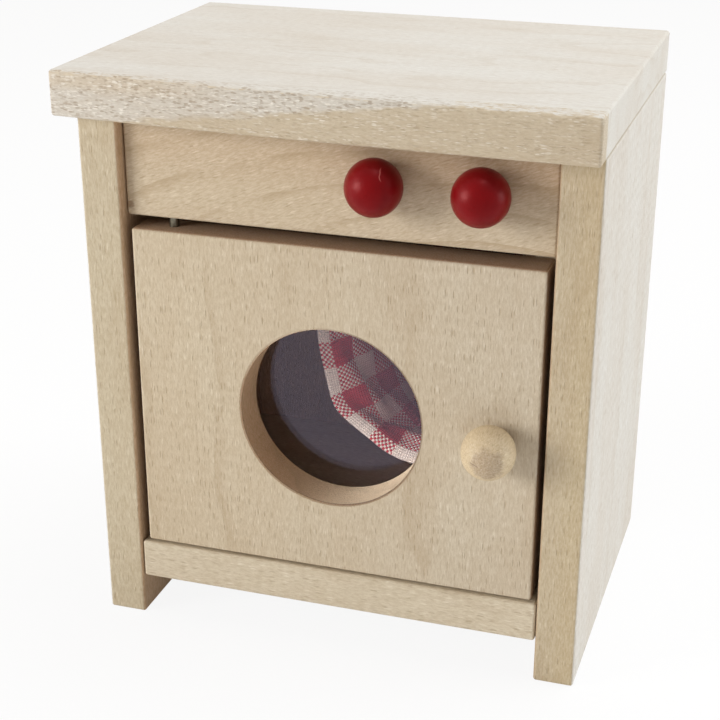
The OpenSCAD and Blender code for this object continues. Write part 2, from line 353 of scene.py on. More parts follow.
def grain(finish, place, seed, heart, lean, pitch, warp, slant=0.0):
    """Growth lines, fibres, flecks and painted glints of one board, each between 0 and 1.

    place is (along, across, through) in mm; heart is where the growth rings'
    middle lies (across, through); lean tilts it, which draws the arches; slant
    is how far the fibres rise along the board.
    """
    wood = settings("wood")
    shift = (31.0 * seed, 17.0 * seed, 7.0 * seed)
    own = finish.stretched(place, (1.0, 1.0, 1.0), shift, -slant)
    wander = finish.noise(finish.stretched(own, (0.035, 0.10, 0.10)), detail=2.0)
    quiver = finish.noise(finish.stretched(own, (0.25, 0.9, 0.9)), detail=2.0)
    parts = finish.add("ShaderNodeSeparateXYZ", {0: place}).outputs
    across = finish.maths("SUBTRACT", parts[1], heart[0])
    through = finish.maths("MULTIPLY_ADD", parts[0], lean, parts[2])
    through = finish.maths("SUBTRACT", through, heart[1])
    ring_place = finish.joined({1: across, 2: through})
    radius = finish.vector("LENGTH", ring_place)
    radius = finish.maths("MULTIPLY_ADD", wander, warp, radius)
    radius = finish.maths("MULTIPLY_ADD", quiver, pitch * 0.14, radius)
    turn = finish.maths("FRACT", finish.maths("DIVIDE", radius, pitch))
    rise = finish.maths("POWER", finish.span(turn, 0.35, 0.965), 5.0)
    line = finish.times(rise, finish.span(turn, 0.965, 1.0, 1.0, 0.0))
    uneven = finish.noise(finish.stretched(own, (0.09, 0.30, 0.30), (7.0, 3.0, 1.0)))
    line = finish.times(line, finish.span(uneven, 0.30, 0.60))
    long, thin = (FLECK_FILL * MM / size for size in (wood.fleck_length, wood.fleck_width))
    spots = finish.stretched(own, (long, thin, thin))
    cells = finish.add("ShaderNodeTexVoronoi", {"Vector": spots, "Scale": 1.0})
    picked = finish.add("ShaderNodeSeparateColor", {0: cells.outputs["Color"]}).outputs
    near = finish.span(cells.outputs["Distance"], 0.20, 0.42, 1.0, 0.0)
    fleck = finish.times(near, finish.span(picked[0], 0.50, 0.90))
    glint = finish.times(near, finish.span(picked[0], 0.46, 0.14))
    fibre = finish.noise(
        finish.stretched(own, (1.15, 4.4, 4.4)), detail=3.0, roughness=0.7
    )
    cloud = finish.noise(finish.stretched(own, (0.03, 0.11, 0.11), (3.0, 9.0, 4.0)))
    height = finish.maths("MULTIPLY_ADD", fleck, -0.6, fibre)
    height = finish.maths("MULTIPLY_ADD", line, -0.20, height)
    return {
        "line": line, "fleck": fleck, "glint": glint, "fibre": fibre,
        "cloud": cloud, "quiver": quiver, "height": height, "own": own,
    }


def wood_colour(finish, marks, base, line_share, fleck_share, contrast):
    """The colour of bare wood from its marks, with painted glints where fibres seem to catch
    the light.
    """
    wood = settings("wood")
    dark = finish.mix(contrast, base, TINTS["dark fibre"])
    light = finish.mix(contrast * 0.6, base, TINTS["pale fibre"])
    body = finish.mix(finish.span(marks["fibre"], 0.34, 0.66), dark, light)
    body = finish.mix(
        finish.span(marks["cloud"], 0.30, 0.72, 0.0, 0.16), body, TINTS["cloud"]
    )
    body = finish.mix(finish.times(marks["line"], line_share), body, tuple(wood.line))
    # painted glints: the pale flecks are made brighter as if catching the light
    glint = finish.times(marks["glint"], fleck_share)
    body = finish.mix(glint, body, TINTS["glint"], blend="MULTIPLY")
    return finish.mix(
        finish.times(marks["fleck"], fleck_share), body, tuple(wood.fleck)
    )


def board(
    node, order, seed, heart, lean=0.05, pitch=9.0, warp=9.0, line_share=0.5,
    fleck_share=0.38, faces=(), relief=0.70, tone=(1.0, 1.0, 1.0), slant=0.0,
    contrast=0.19, extra=None,
):
    """One sanded board of the cabinet.

    order names the axes along the grain, across it and through the board.
    faces lists (axis, place in m, side, colour) of faces with a colour of their own; here
    these are painted light on the tops, ends and outer sides, and painted shade on the inner
    sides.
    extra adds what only this board has: it takes and returns colour and height.
    """
    wood = settings("wood")
    finish = Finish("maple_" + node)
    place = finish.place_mm(order)
    marks = grain(finish, place, seed, heart, lean, pitch, warp, slant)
    axes = finish.axes()
    base = tuple(part * share for part, share in zip(wood.board, tone))
    for axis, where, side, tint in faces:
        ragged = finish.noise(finish.stretched(marks["own"], (0.12, 0.8, 0.8)), detail=3.0)
        spot = finish.maths("MULTIPLY_ADD", ragged, side * 0.25 * MM, axes[axis])
        start = where - side * 0.20 * MM
        base = finish.mix(finish.span(spot, start, start + side * 0.16 * MM), base, tint)
    height = marks["height"]
    if extra:
        base, height = extra(finish, axes, marks, base, height)
    body = wood_colour(finish, marks, base, line_share, fleck_share, contrast)
    finish.set(Base_Color=body, Roughness=wood.roughness, Specular_IOR_Level=0.3)
    finish.bump(height, relief, 0.09 * MM)
    dress(node, finish)


def sawn_front(finish, axes, marks, base, height):
    """The worktop's front edge: torn by the saw, paler to the left."""
    wood = settings("wood")
    low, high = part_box("worktop")
    own = marks["own"]
    wobble = finish.add(
        "ShaderNodeTexNoise", {"Vector": finish.stretched(own, (0.5, 1.6, 1.6)), "Scale": 1.0}
    ).outputs["Color"]
    strips = finish.vector(
        "MULTIPLY_ADD", wobble, (1.5, 1.5, 1.5), finish.stretched(own, (1.25, 5.2, 5.2))
    )
    cells = finish.add("ShaderNodeTexVoronoi", {"Vector": strips, "Scale": 1.0}).outputs
    chips = finish.add("ShaderNodeSeparateColor", {0: cells["Color"]}).outputs[0]
    torn = finish.maths("MULTIPLY_ADD", chips, 0.9 * MM, axes["Z"])
    near = finish.times(
        finish.span(axes["Y"], low.y + 3.6 * MM, low.y + 2.9 * MM),
        finish.span(torn, high.z + 0.55 * MM, high.z + 0.15 * MM),
    )
    bands = finish.noise(
        finish.stretched(own, (0.02, 0.8, 0.8), (2.0, 5.0, 3.0)), detail=1.0
    )
    rise = finish.span(
        axes["X"], -36.0 * MM, 24.0 * MM, low.z - 0.8 * MM, high.z + 0.4 * MM, smooth=False
    )
    above = finish.maths("SUBTRACT", axes["Z"], rise)
    above = finish.maths("MULTIPLY_ADD", marks["quiver"], 2.0 * MM, above)
    rough = finish.span(above, 0.6 * MM, 1.8 * MM, 0.6, 1.0)
    rough = finish.times(rough, finish.span(bands, 0.34, 0.56, 0.65, 1.0))
    rough = finish.times(rough, finish.span(cells["Distance"], 0.85, 0.30))
    sawn = finish.times(finish.maths("SUBTRACT", chips, 0.5), rough)
    gold = finish.times(
        finish.span(axes["X"], -8.0 * MM, -28.0 * MM),
        finish.span(axes["Z"], high.z - 3.2 * MM, high.z - 1.4 * MM),
    )
    tan = tuple(part * 0.93 for part in wood.board)
    edge = finish.mix(finish.span(above, 0.7 * MM, 1.6 * MM, 0.0, 0.85), tan, tuple(wood.pale))
    edge = finish.mix(finish.times(gold, 0.4), edge, TINTS["gold band"])
    dark = finish.span(sawn, -0.04, -0.40, 0.0, 0.52)
    bright = finish.span(sawn, 0.02, 0.42, 0.0, 0.75)
    speckle = finish.mix(dark, edge, TINTS["dark chip"])
    speckle = finish.mix(bright, speckle, TINTS["pale chip"])
    base = finish.mix(near, base, speckle)
    relief = finish.times(sawn, 2.2, near)
    return base, finish.maths("ADD", height, relief)


def door_cuts(finish, axes, marks, base, height):
    """The door's painted light and shade: warm and cool light, lit side arrises, shaded side
    edges and darker end grain in shade; and its window.
    """
    low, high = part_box("door")
    # painted light: yellower toward the left as warm light from that side, greyer toward the
    # right as cool light
    tone = finish.span(axes["X"], low.x, high.x)
    base = finish.mix(tone, finish.mix(0.14, base, TINTS["painted warm light"]), base)
    base = finish.mix(finish.times(tone, 0.2), base, TINTS["painted cool light"])
    inset = finish.maths(
        "MINIMUM",
        finish.maths("SUBTRACT", axes["X"], low.x),
        finish.maths("SUBTRACT", high.x, axes["X"]),
    )
    # painted highlight: a paler line along the door's side arrises, where they catch the light
    wear_and_highlight = finish.span(inset, 0.5 * MM, 0.2 * MM, 0.0, 0.3)
    base = finish.mix(wear_and_highlight, base, TINTS["painted edge highlight"])
    # painted shade: the door's side edges darkened as if in the shade of the gaps beside the
    # door
    base = finish.mix(finish.span(inset, 0.14 * MM, 0.05 * MM), base, TINTS["painted gap shade"])
    # darker end grain on the door's top edge, deepened by painted shade from the gap above the
    # door
    end = finish.span(axes["Z"], high.z - 0.16 * MM, high.z - 0.06 * MM)
    base = finish.mix(end, base, TINTS["end grain and gap shade"])
    return window_bore(finish, axes, marks, base, height)


def painted_outer_shade(finish, axes, marks, base, height):
    """The right side panel's front, yellower and a little darker toward its outer edge:
    painted shade away from the light on the left.
    """
    low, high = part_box("side_panel_right")
    # painted shade: more of the darker yellow toward the outer edge, away from the light on
    # the left
    share_here = finish.times(
        finish.span(axes["X"], low.x + 1.0 * MM, high.x - 1.0 * MM, 0.15, 0.75),
        finish.span(axes["X"], high.x - 0.12 * MM, high.x - 0.20 * MM),
    )
    return finish.mix(share_here, base, TINTS["painted_outer_shade"]), height


def nicked(finish, axes, marks, base, height):
    """The control panel's painted shade under the worktop's overhang, deeper to the right, and
    a small dent at its lower left.
    """
    low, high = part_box("control_panel")
    # painted shade: browner toward the top, under the worktop's overhang, and more so to the
    # right
    brown = finish.times(
        finish.span(axes["Z"], low.z + 3.0 * MM, high.z - 2.0 * MM),
        finish.span(axes["X"], -10.0 * MM, 25.0 * MM, 0.35, 0.75),
    )
    base = finish.mix(brown, base, TINTS["painted overhang shade"])
    source = finish.joined({0: axes["X"], 2: axes["Z"]})
    away = finish.vector("DISTANCE", source, (low.x + 0.5 * MM, 0.0, low.z + 1.6 * MM))
    away = finish.maths("MULTIPLY_ADD", marks["fibre"], 0.5 * MM, away)
    dent = finish.span(away, 1.05 * MM, 0.65 * MM)
    base = finish.mix(finish.times(dent, 0.85), base, TINTS["dent"])
    return base, finish.maths("MULTIPLY_ADD", dent, -2.0, height)


def window_bore(finish, axes, marks, base, height):
    """The window's cut wall with painted light and shade, its turning lines, its scorched rim
    and a painted shade line along its right edge.
    """
    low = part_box("door")[0]
    pane_low, pane_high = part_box("window_pane")
    middle = (pane_low + pane_high) / 2.0
    side = finish.maths("SUBTRACT", axes["X"], middle.x)
    rise = finish.maths("SUBTRACT", axes["Z"], middle.z)
    flat = finish.joined({0: side, 2: rise})
    radius = finish.times(finish.vector("LENGTH", flat), PER_MM)
    beyond = finish.maths("SUBTRACT", radius, WINDOW_RADIUS_MM)
    wall = finish.span(beyond, 0.10, 0.03)
    depth = finish.joined({0: finish.times(axes["Y"], PER_MM)})
    lines = finish.noise(depth, scale=5.0)
    # painted light and shade: the bore's wall takes a shaded colour on the left and a lit
    # colour on the right
    painted_light_side = finish.span(side, -11.0 * MM, 2.0 * MM)
    cut = finish.mix(painted_light_side, TINTS["bore in shade"], TINTS["bore in light"])
    cut = finish.mix(finish.span(lines, 0.35, 0.75, 0.0, 0.25), cut, TINTS["turning line"])
    base = finish.mix(wall, base, cut)
    teeth = finish.maths("MULTIPLY_ADD", marks["fibre"], -0.55, beyond)
    face = finish.span(axes["Y"], low.y + 0.25 * MM, low.y + 0.05 * MM)
    lower_left = finish.maths("MULTIPLY_ADD", side, 0.7, rise)
    scorched = finish.span(lower_left, 10.0 * MM, -8.0 * MM)
    rim = finish.times(finish.span(teeth, 0.12, -0.02), face, scorched, 0.85)
    base = finish.mix(rim, base, TINTS["scorched rim"])
    # painted shade: a dark line at the bore's front edge, strongest on the right, where the
    # bore wall lies in shade
    arris = finish.times(finish.span(beyond, 0.26, 0.14), face)
    arris = finish.times(arris, finish.span(side, -4.0 * MM, 6.0 * MM, 0.2, 0.75))
    base = finish.mix(arris, base, TINTS["painted bore edge shade"])
    return base, finish.maths("MULTIPLY_ADD", finish.times(lines, wall), 0.6, height)


def turned_wood(name, order, tone=1.0, extra=None):
    """Turned or dowel wood, whose grain runs along the piece."""
    wood = settings("wood")
    finish = Finish(name)
    place = finish.place_mm(order)
    marks = grain(finish, place, 9.0, (14.0, 9.0), 0.1, 1.9, 1.5)
    axes = finish.axes()
    base = tuple(part * tone for part in wood.turned)
    height = marks["height"]
    if extra:
        base, height = extra(finish, axes, marks, base, height)
    body = wood_colour(finish, marks, base, 0.15, 0.35, 0.22)
    finish.set(Base_Color=body, Roughness=0.5, Specular_IOR_Level=0.35)
    finish.bump(height, 0.4, 0.08 * MM)
    return finish


def end_grain(finish, axes, marks, base, height):
    """The pull's blunt front, where the end grain shows dark and open."""
    low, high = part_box("door_pull")
    middle = (low + high) / 2.0
    half = (high.x - low.x) / 2.0
    spot = Vector((0.16, -0.97, -0.10)).normalized() * half
    spot += Vector((middle.x, low.y + half, middle.z))
    source = finish.joined(dict(enumerate(axes.values())))
    away = finish.vector("DISTANCE", source, spot)
    away = finish.maths("MULTIPLY_ADD", marks["quiver"], 2.0 * MM, away)
    patch = finish.span(away, 3.9 * MM, 3.0 * MM)
    own = finish.stretched(source, TO_MM)
    pore = finish.noise(own, scale=3.4, detail=2.0, roughness=0.7)
    open_pore = finish.span(pore, 0.35, 0.65)
    dull = finish.mix(open_pore, TINTS["dark end grain"], TINTS["pale end grain"])
    base = finish.mix(finish.times(patch, 0.85), base, dull)
    slope = 0.325
    fall = finish.maths("MULTIPLY_ADD", axes["X"], slope, axes["Z"])
    aim = middle.z - 0.09 * MM + slope * (middle.x - 1.78 * MM)
    fall = finish.maths("MULTIPLY_ADD", marks["fibre"], 0.3 * MM, fall)
    fall = finish.maths("SUBTRACT", fall, aim + 0.15 * MM)
    crack = finish.times(
        finish.span(finish.maths("ABSOLUTE", fall), 0.12 * MM, 0.04 * MM),
        finish.span(axes["X"], middle.x - 1.9 * MM, middle.x - 1.6 * MM),
        finish.span(axes["X"], middle.x - 0.5 * MM, middle.x - 0.7 * MM),
    )
    base = finish.mix(finish.times(crack, 0.8), base, TINTS["crack"])
    rough = finish.times(pore, patch, 1.6)
    return base, finish.maths("ADD", height, rough)


# ---------------------------------------------------------------- operators

WHITE = (1.0, 1.0, 1.0)
FLOOR_SIZE = 4.0
FLOOR_GLOW = 0.90
LAMP_AIM = (0.0, 0.0, 0.045)
# name, place, size, setting that holds its power, tint
LAMPS = (
    ("lamp_top", (0.14, 0.12, 0.70), 0.46, "top_lamp", (0.94, 0.975, 1.0)),
    ("lamp_right", (0.76, 0.20, 0.26), 0.55, "right_lamp", (0.92, 0.97, 1.0)),
    ("lamp_left", (-0.64, -0.50, 0.24), 0.36, "left_lamp", (1.0, 0.985, 0.955)),
)
CAMERA_SHIFT_PX = (-15.0, 40.0)
PHOTO_WIDTH_PX = 720.0


class TOYWASHER_OT_stage(Operator):
    """Lays the floor and hangs the lamps and the even light"""

    bl_idname = "toy_washer.stage"
    bl_label = "Stage and light"

    def execute(self, context):
        stage = settings("stage")
        shape = bmesh.new()
        bmesh.ops.create_grid(shape, x_segments=1, y_segments=1, size=FLOOR_SIZE)
        mesh = bpy.data.meshes.new("floor")
        shape.to_mesh(mesh)
        shape.free()
        floor = bpy.data.objects.new("floor", mesh)
        context.scene.collection.objects.link(floor)
        finish = Finish("floor")
        tree = finish.tree
        finish.set(Base_Color=tuple(stage.floor), Roughness=0.9, Specular_IOR_Level=0.1)
        ray = finish.add("ShaderNodeLightPath").outputs
        seen = finish.maths("MAXIMUM", ray["Is Camera Ray"], ray["Is Glossy Ray"])
        seen = finish.maths("MAXIMUM", seen, ray["Is Transmission Ray"])
        white = finish.add("ShaderNodeEmission", {"Color": WHITE, "Strength": 1.0})
        blend = finish.add("ShaderNodeMixShader")
        finish.put(blend.inputs[0], finish.times(seen, FLOOR_GLOW))
        finish.put(blend.inputs[1], finish.shader.outputs[0])
        finish.put(blend.inputs[2], white.outputs[0])
        end = next(n for n in tree.nodes if n.type == "OUTPUT_MATERIAL")
        tree.links.new(blend.outputs[0], end.inputs["Surface"])
        mesh.materials.append(finish.material)
        self.make_world(context, stage)
        for name, place, size, power, tint in LAMPS:
            light = bpy.data.lights.new(name, "AREA")
            light.shape = "SQUARE"
            light.size = size
            light.energy = getattr(stage, power)
            light.color = tint
            lamp = bpy.data.objects.new(name, light)
            lamp.location = place
            aim = Vector(LAMP_AIM) - Vector(place)
            lamp.rotation_euler = aim.to_track_quat("-Z", "Y").to_euler()
            context.scene.collection.objects.link(lamp)
        context.scene.view_settings.view_transform = "Standard"
        return {"FINISHED"}

    def make_world(self, context, stage):
        """White where it is seen, plain light elsewhere."""
        world = bpy.data.worlds.new("sky")
        context.scene.world = world
        world.use_nodes = True
        tree = world.node_tree
        tree.nodes.clear()
        ray = tree.nodes.new("ShaderNodeLightPath")
        seen = ray.outputs["Is Camera Ray"]
        for kind in ("Is Glossy Ray", "Is Transmission Ray"):
            either = tree.nodes.new("ShaderNodeMath")
            either.operation = "MAXIMUM"
            tree.links.new(seen, either.inputs[0])
            tree.links.new(ray.outputs[kind], either.inputs[1])
            seen = either.outputs[0]
        level = tree.nodes.new("ShaderNodeMix")
        level.data_type = "RGBA"
        tree.links.new(seen, level.inputs[0])
        level.inputs[6].default_value = (*(stage.sky * part for part in stage.sky_tint), 1.0)
        level.inputs[7].default_value = (*WHITE, 1.0)
        back = tree.nodes.new("ShaderNodeBackground")
        tree.links.new(level.outputs[2], back.inputs["Color"])
        end = tree.nodes.new("ShaderNodeOutputWorld")
        tree.links.new(back.outputs[0], end.inputs["Surface"])


class TOYWASHER_OT_camera(Operator):
    """Stands the camera at its place"""

    bl_idname = "toy_washer.camera"
    bl_label = "Camera"

    def execute(self, context):
        stage = settings("stage")
        data = bpy.data.cameras.new("camera")
        data.sensor_width = 36.0
        data.lens = stage.lens
        data.shift_x, data.shift_y = (part / PHOTO_WIDTH_PX for part in CAMERA_SHIFT_PX)
        data.clip_start = 0.01
        ahead = Vector(
            (
                math.sin(stage.heading) * math.cos(stage.tilt),
                math.cos(stage.heading) * math.cos(stage.tilt),
                -math.sin(stage.tilt),
            )
        )
        right = ahead.cross(Vector((0, 0, 1))).normalized()
        up = right.cross(ahead)
        turned_right = math.cos(stage.roll) * right + math.sin(stage.roll) * up
        turned_up = -math.sin(stage.roll) * right + math.cos(stage.roll) * up
        turn = Matrix((turned_right, turned_up, -ahead)).transposed().to_4x4()
        camera = bpy.data.objects.new("camera", data)
        camera.matrix_world = Matrix.Translation(stage.camera_place) @ turn
        context.scene.collection.objects.link(camera)
        context.scene.camera = camera
        return {"FINISHED"}


class TOYWASHER_OT_boards(Operator):
    """Gives each board of the cabinet and the door its own grain"""

    bl_idname = "toy_washer.boards"
    bl_label = "Boards"

    def execute(self, context):
        # pale is painted light on the worktop's top and ends and on the side panels' outer
        # faces
        pale = tuple(settings("wood").pale)
        # painted shade for the left side panel's inner face
        shaded = TINTS["painted left inner shade"]
        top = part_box("worktop")
        board(
            "worktop", "XYZ", 1, heart=(10.0, 60.0), lean=0.03, pitch=4.6, warp=14.0,
            line_share=0.16, fleck_share=0.16, contrast=0.12,
            faces=(
                ("Z", top[1].z, 1, pale), ("X", top[1].x, 1, pale), ("X", top[0].x, -1, pale),
            ),
            extra=sawn_front,
        )
        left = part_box("side_panel_left")
        board(
            "side_panel_left", "ZYX", 2, heart=(12.0, -20.0), lean=0.05, pitch=7.0,
            line_share=0.15, tone=(0.93, 0.94, 0.90),
            faces=(("X", left[0].x, -1, pale), ("X", left[1].x, 1, shaded)),
        )
        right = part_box("side_panel_right")
        board(
            "side_panel_right", "ZYX", 3, heart=(-8.0, 24.0), lean=-0.04, pitch=8.0,
            line_share=0.15, tone=(0.92, 0.91, 0.86),
            # painted shade on the right side panel's inner face
            faces=(("X", right[1].x, 1, pale), ("X", right[0].x, -1, TINTS["painted right inner shade"])),
            extra=painted_outer_shade,
        )
        board(
            "control_panel", "XZY", 4, heart=(55.0, -12.8), lean=0.37, pitch=4.4,
            warp=3.0, line_share=0.5, tone=(0.99, 0.97, 0.94), slant=math.radians(20.0),
            relief=0.45, extra=nicked,
        )
        board(
            "door", "ZXY", 5, heart=(30.0, 26.0), lean=0.06, pitch=8.0, line_share=0.28,
            extra=door_cuts,
        )
        board(
            "floor_board", "XYZ", 6, heart=(0.0, 30.0), lean=0.05, pitch=7.0,
            line_share=0.15, tone=(1.10, 1.14, 1.18),
        )
        board("door_stop", "ZXY", 7, heart=(4.0, 12.0), line_share=0.2)
        return {"FINISHED"}


class TOYWASHER_OT_back_panel(Operator):
    """Gives the back panel its veneer and the layers on its edges"""

    bl_idname = "toy_washer.back_panel"
    bl_label = "Back panel"

    def execute(self, context):
        wood = settings("wood")
        finish = Finish("plywood_back_panel")
        place = finish.place_mm("ZXY")
        marks = grain(finish, place, 8.0, (20.0, 34.0), 0.16, 5.0, 10.0)
        base = tuple(wood.plywood)
        body = wood_colour(finish, marks, base, 0.35, 0.4, 0.28)
        low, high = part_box("back_panel")
        deep = finish.axes()["Y"]
        third = (high.y - low.y) / 3.0
        inner = finish.times(
            finish.span(deep, low.y + third - 0.05 * MM, low.y + third + 0.05 * MM),
            finish.span(deep, high.y - third + 0.05 * MM, high.y - third - 0.05 * MM),
            0.5,
        )
        core = (base[0] * 0.62, base[1] * 0.55, base[2] * 0.46)
        body = finish.mix(inner, body, core)
        finish.set(Base_Color=body, Roughness=0.7, Specular_IOR_Level=0.3)
        finish.bump(marks["height"], 0.5, 0.10 * MM)
        dress("back_panel", finish)
        return {"FINISHED"}


class TOYWASHER_OT_knobs(Operator):
    """Lacquers the two knobs red"""

    bl_idname = "toy_washer.knobs"
    bl_label = "Knobs"

    def execute(self, context):
        lacquer = settings("lacquer")
        for knob, seed in (("knob_left", 1.0), ("knob_right", 5.0)):
            finish = Finish("lacquer_" + knob)
            place = finish.place_mm("XYZ", (seed, seed, seed))
            soft = finish.noise(place, scale=0.35, detail=2.0)
            peel = finish.noise(place, scale=2.2, detail=2.0)
            red = tuple(lacquer.red)
            deeper = (red[0] * 0.86, red[1] * 0.8, red[2] * 0.8)
            body = finish.mix(finish.span(soft, 0.3, 0.7), red, deeper)
            if knob == "knob_left":
                body = self.scratch(finish, body)
            finish.set(
                Base_Color=body,
                Roughness=lacquer.roughness,
                Specular_IOR_Level=0.25,
                Specular_Tint=tuple(lacquer.shine),
            )
            finish.bump(peel, 0.10, 0.2 * MM)
            dress(knob, finish)
        return {"FINISHED"}

    def scratch(self, finish, body):
        """A short pale scratch high on the front of the left knob."""
        low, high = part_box("knob_left")
        middle = (low + high) / 2.0
        source = finish.add("ShaderNodeTexCoord").outputs["Object"]
        x, y, z = finish.add("ShaderNodeSeparateXYZ", {0: source}).outputs[:3]
        wave = finish.noise(finish.stretched(source, (0.0, 0.0, 900.0)), detail=1.0)
        slope = 0.336
        track = finish.maths("MULTIPLY_ADD", z, slope, x)
        track = finish.maths("MULTIPLY_ADD", wave, 0.9 * MM, track)
        aim = middle.x + 1.82 * MM + slope * (middle.z + 3.46 * MM)
        aside = finish.maths("ABSOLUTE", finish.maths("SUBTRACT", track, aim))
        line = finish.span(aside, 0.09 * MM, 0.03 * MM)
        span = finish.times(
            finish.span(z, middle.z + 3.4 * MM, middle.z + 3.1 * MM),
            finish.span(z, middle.z + 1.7 * MM, middle.z + 2.1 * MM),
        )
        front = finish.maths("LESS_THAN", y, middle.y)
        line = finish.times(line, span, front)
        return finish.mix(finish.times(line, 0.5), body, TINTS["scratch"])


class TOYWASHER_OT_turned_parts(Operator):
    """Gives the pull, the pegs and the dowels their bare turned wood"""

    bl_idname = "toy_washer.turned_parts"
    bl_label = "Pull, pegs and dowels"

    def execute(self, context):
        dress("door_pull", turned_wood("beech_pull", "YXZ", extra=end_grain))
        dress("door_pull_peg", turned_wood("beech_peg", "YXZ", 0.9))
        for name, order in (
            ("worktop_dowels", "ZXY"),
            ("floor_dowels", "XYZ"),
            ("panel_dowels", "XYZ"),
        ):
            dress(name, turned_wood("beech_" + name, order, 0.9))
        return {"FINISHED"}


class TOYWASHER_OT_metalwork(Operator):
    """Gives the nails, pins, screws and washers their metal"""

    bl_idname = "toy_washer.metalwork"
    bl_label = "Nails, pins, screws and washers"

    def execute(self, context):
        metal = settings("metal")
        for name, tint, members in (
            (
                "steel_wire",
                metal.steel,
                (
                    "back_nails", "hinge_pin_top", "hinge_pin_bottom",
                    "knob_screw_left", "knob_screw_right",
                ),
            ),
            ("brass", metal.brass, ("knob_washer_left", "knob_washer_right", "pane_pins")),
        ):
            finish = Finish(name)
            place = finish.place_mm("XYZ")
            wear_and_highlight = finish.noise(place, scale=1.4, detail=3.0, roughness=0.6)
            scratch = finish.noise(finish.stretched(place, (2.0, 9.0, 9.0)), detail=2.0)
            dark = tuple(part * 0.7 for part in tint)
            finish.set(
                Base_Color=finish.mix(finish.span(wear_and_highlight, 0.4, 0.75), tuple(tint), dark),
                Metallic=1.0,
                Roughness=metal.roughness,
            )
            finish.bump(scratch, 0.15, 0.05 * MM)
            for member in members:
                dress(member, finish)
        return {"FINISHED"}


class TOYWASHER_OT_window_pane(Operator):
    """Makes the sheet behind the window clear"""

    bl_idname = "toy_washer.window_pane"
    bl_label = "Window pane"

    def execute(self, context):
        pane = settings("pane")
        finish = Finish("clear_pane")
        place = finish.place_mm("XYZ")
        swell = finish.noise(place, scale=0.08, detail=1.0)
        finish.set(
            Base_Color=tuple(pane.tint),
            Roughness=0.0,
            IOR=pane.refraction,
            Specular_Tint=tuple(pane.shine),
            Transmission_Weight=1.0,
        )
        finish.bump(swell, 0.02, 1.0 * MM)
        dress("window_pane", finish)
        NODES["window_pane"].visible_shadow = False
        return {"FINISHED"}


# ---------------------------------------------------------------- laundry

SIM_SCALE = 20.0
SIM_FRAMES = 45
SIM_WALL = 0.6
SIM_GAP = 0.008
SIM_FRICTION = 12.0
SIM_GRAVITY = 0.25
SIM_SETTINGS = {
    "quality": 8,
    "mass": 0.25,
    "tension_stiffness": 25.0,
    "compression_stiffness": 25.0,
    "shear_stiffness": 8.0,
    "bending_stiffness": 4.0,
    "pin_stiffness": 1.0,
    "vertex_group_mass": "pins",
}
SHEET_WIDTH_MM = 39.0
SHEET_STEP_MM = 0.95
UV_PER_MM = 0.01
FRONT_EDGE_MM = -41.0
ROLL_X_MM = 12.0
ROLL_Z_MM = 29.0
FIRM_EDGE_MM = 2.0
LOOSE_PIN = 0.12
FIRST_STRIPE_MM = 1.9
CUT_EDGE_MM = (
    (13.5, 0.4), (16.0, 0.4), (20.0, 0.4), (25.0, 0.7), (28.4, 2.6), (29.8, 7.0),
    (30.0, 18.0), (29.4, 29.0), (27.0, 36.8), (22.0, 41.2), (15.5, 43.2), (7.5, 43.5),
    (-1.0, 43.0), (-5.4, 40.2), (-5.9, 35.6), (-5.5, 31.8), (-4.6, 27.9),
    (-3.7, 24.0), (-3.1, 22.3), (-1.2, 20.5), (2.3, 18.1), (5.2, 15.9), (9.4, 14.6),
    (14.0, 14.8), (18.0, 16.8), (20.6, 20.4),
)
ON_FLOOR = 3
AT_STRIPE = 15
AT_SIDE = 16


def along_path(points, distance):
    """The place at a distance along a line of points."""
    for start, end in zip(points, points[1:]):
        step = (end - start).length
        if distance <= step or end is points[-1]:
            return start.lerp(end, distance / step)
        distance -= step


def inside_box():
    """The cabinet's inside: its middle, floor, back and half width."""
    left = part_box("side_panel_left")[1].x
    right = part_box("side_panel_right")[0].x
    return {
        "middle": (left + right) / 2.0,
        "half": (right - left) / 2.0,
        "floor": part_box("floor_board")[1].z,
        "back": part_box("back_panel")[0].y,
    }


def path_length(points):
    """The length of a line of points."""
    return sum((end - start).length for start, end in zip(points, points[1:]))


def smooth_path(points, rounds):
    """The same line with its corners cut and its ends kept."""
    for _ in range(rounds):
        finer = [points[0]]
        for start, end in zip(points, points[1:]):
            finer += [start.lerp(end, 0.25), start.lerp(end, 0.75)]
        points = finer + [points[-1]]
    return points


def sheet_guide(across, along, edge, marks):
    """Where a point of the sheet starts: straight in from the cut edge of the roll."""
    start = along_path(edge, along)
    lean = math.exp(-(((along - marks["side"]) / 12.0) ** 2))
    inward = Vector((0.36 * lean, 1.0, 0.10 * lean)).normalized()
    middle = Vector((ROLL_X_MM, start.y, ROLL_Z_MM))
    lip = ((middle - start).normalized() * 0.8 + Vector((0.0, 0.6, 0.0))).normalized()
    lip_width = min(across, FIRST_STRIPE_MM) if along > marks["floor"] else 0.0
    place = start + lip * lip_width + inward * (across - lip_width)
    if along > marks["floor"]:
        ripple = 0.45 * math.sin(along / 3.1 + 0.12 * across) * min(across / 16.0, 1.0)
        middle.y = place.y
        place += (place - middle).normalized() * ripple
    return place


def wall(name, low, high):
    """A closed block that the sheet cannot pass while it settles."""
    shape = bmesh.new()
    bmesh.ops.create_cube(shape, size=1.0)
    size = Vector(high) - Vector(low)
    bmesh.ops.scale(shape, vec=size, verts=shape.verts)
    bmesh.ops.translate(shape, vec=(Vector(low) + Vector(high)) / 2.0, verts=shape.verts)
    mesh = bpy.data.meshes.new(name)
    shape.to_mesh(mesh)
    shape.free()
    block = bpy.data.objects.new(name, mesh)
    bpy.context.scene.collection.objects.link(block)
    block.modifiers.new("stop", "COLLISION")
    block.collision.thickness_outer = SIM_GAP
    block.collision.cloth_friction = SIM_FRICTION
    return block


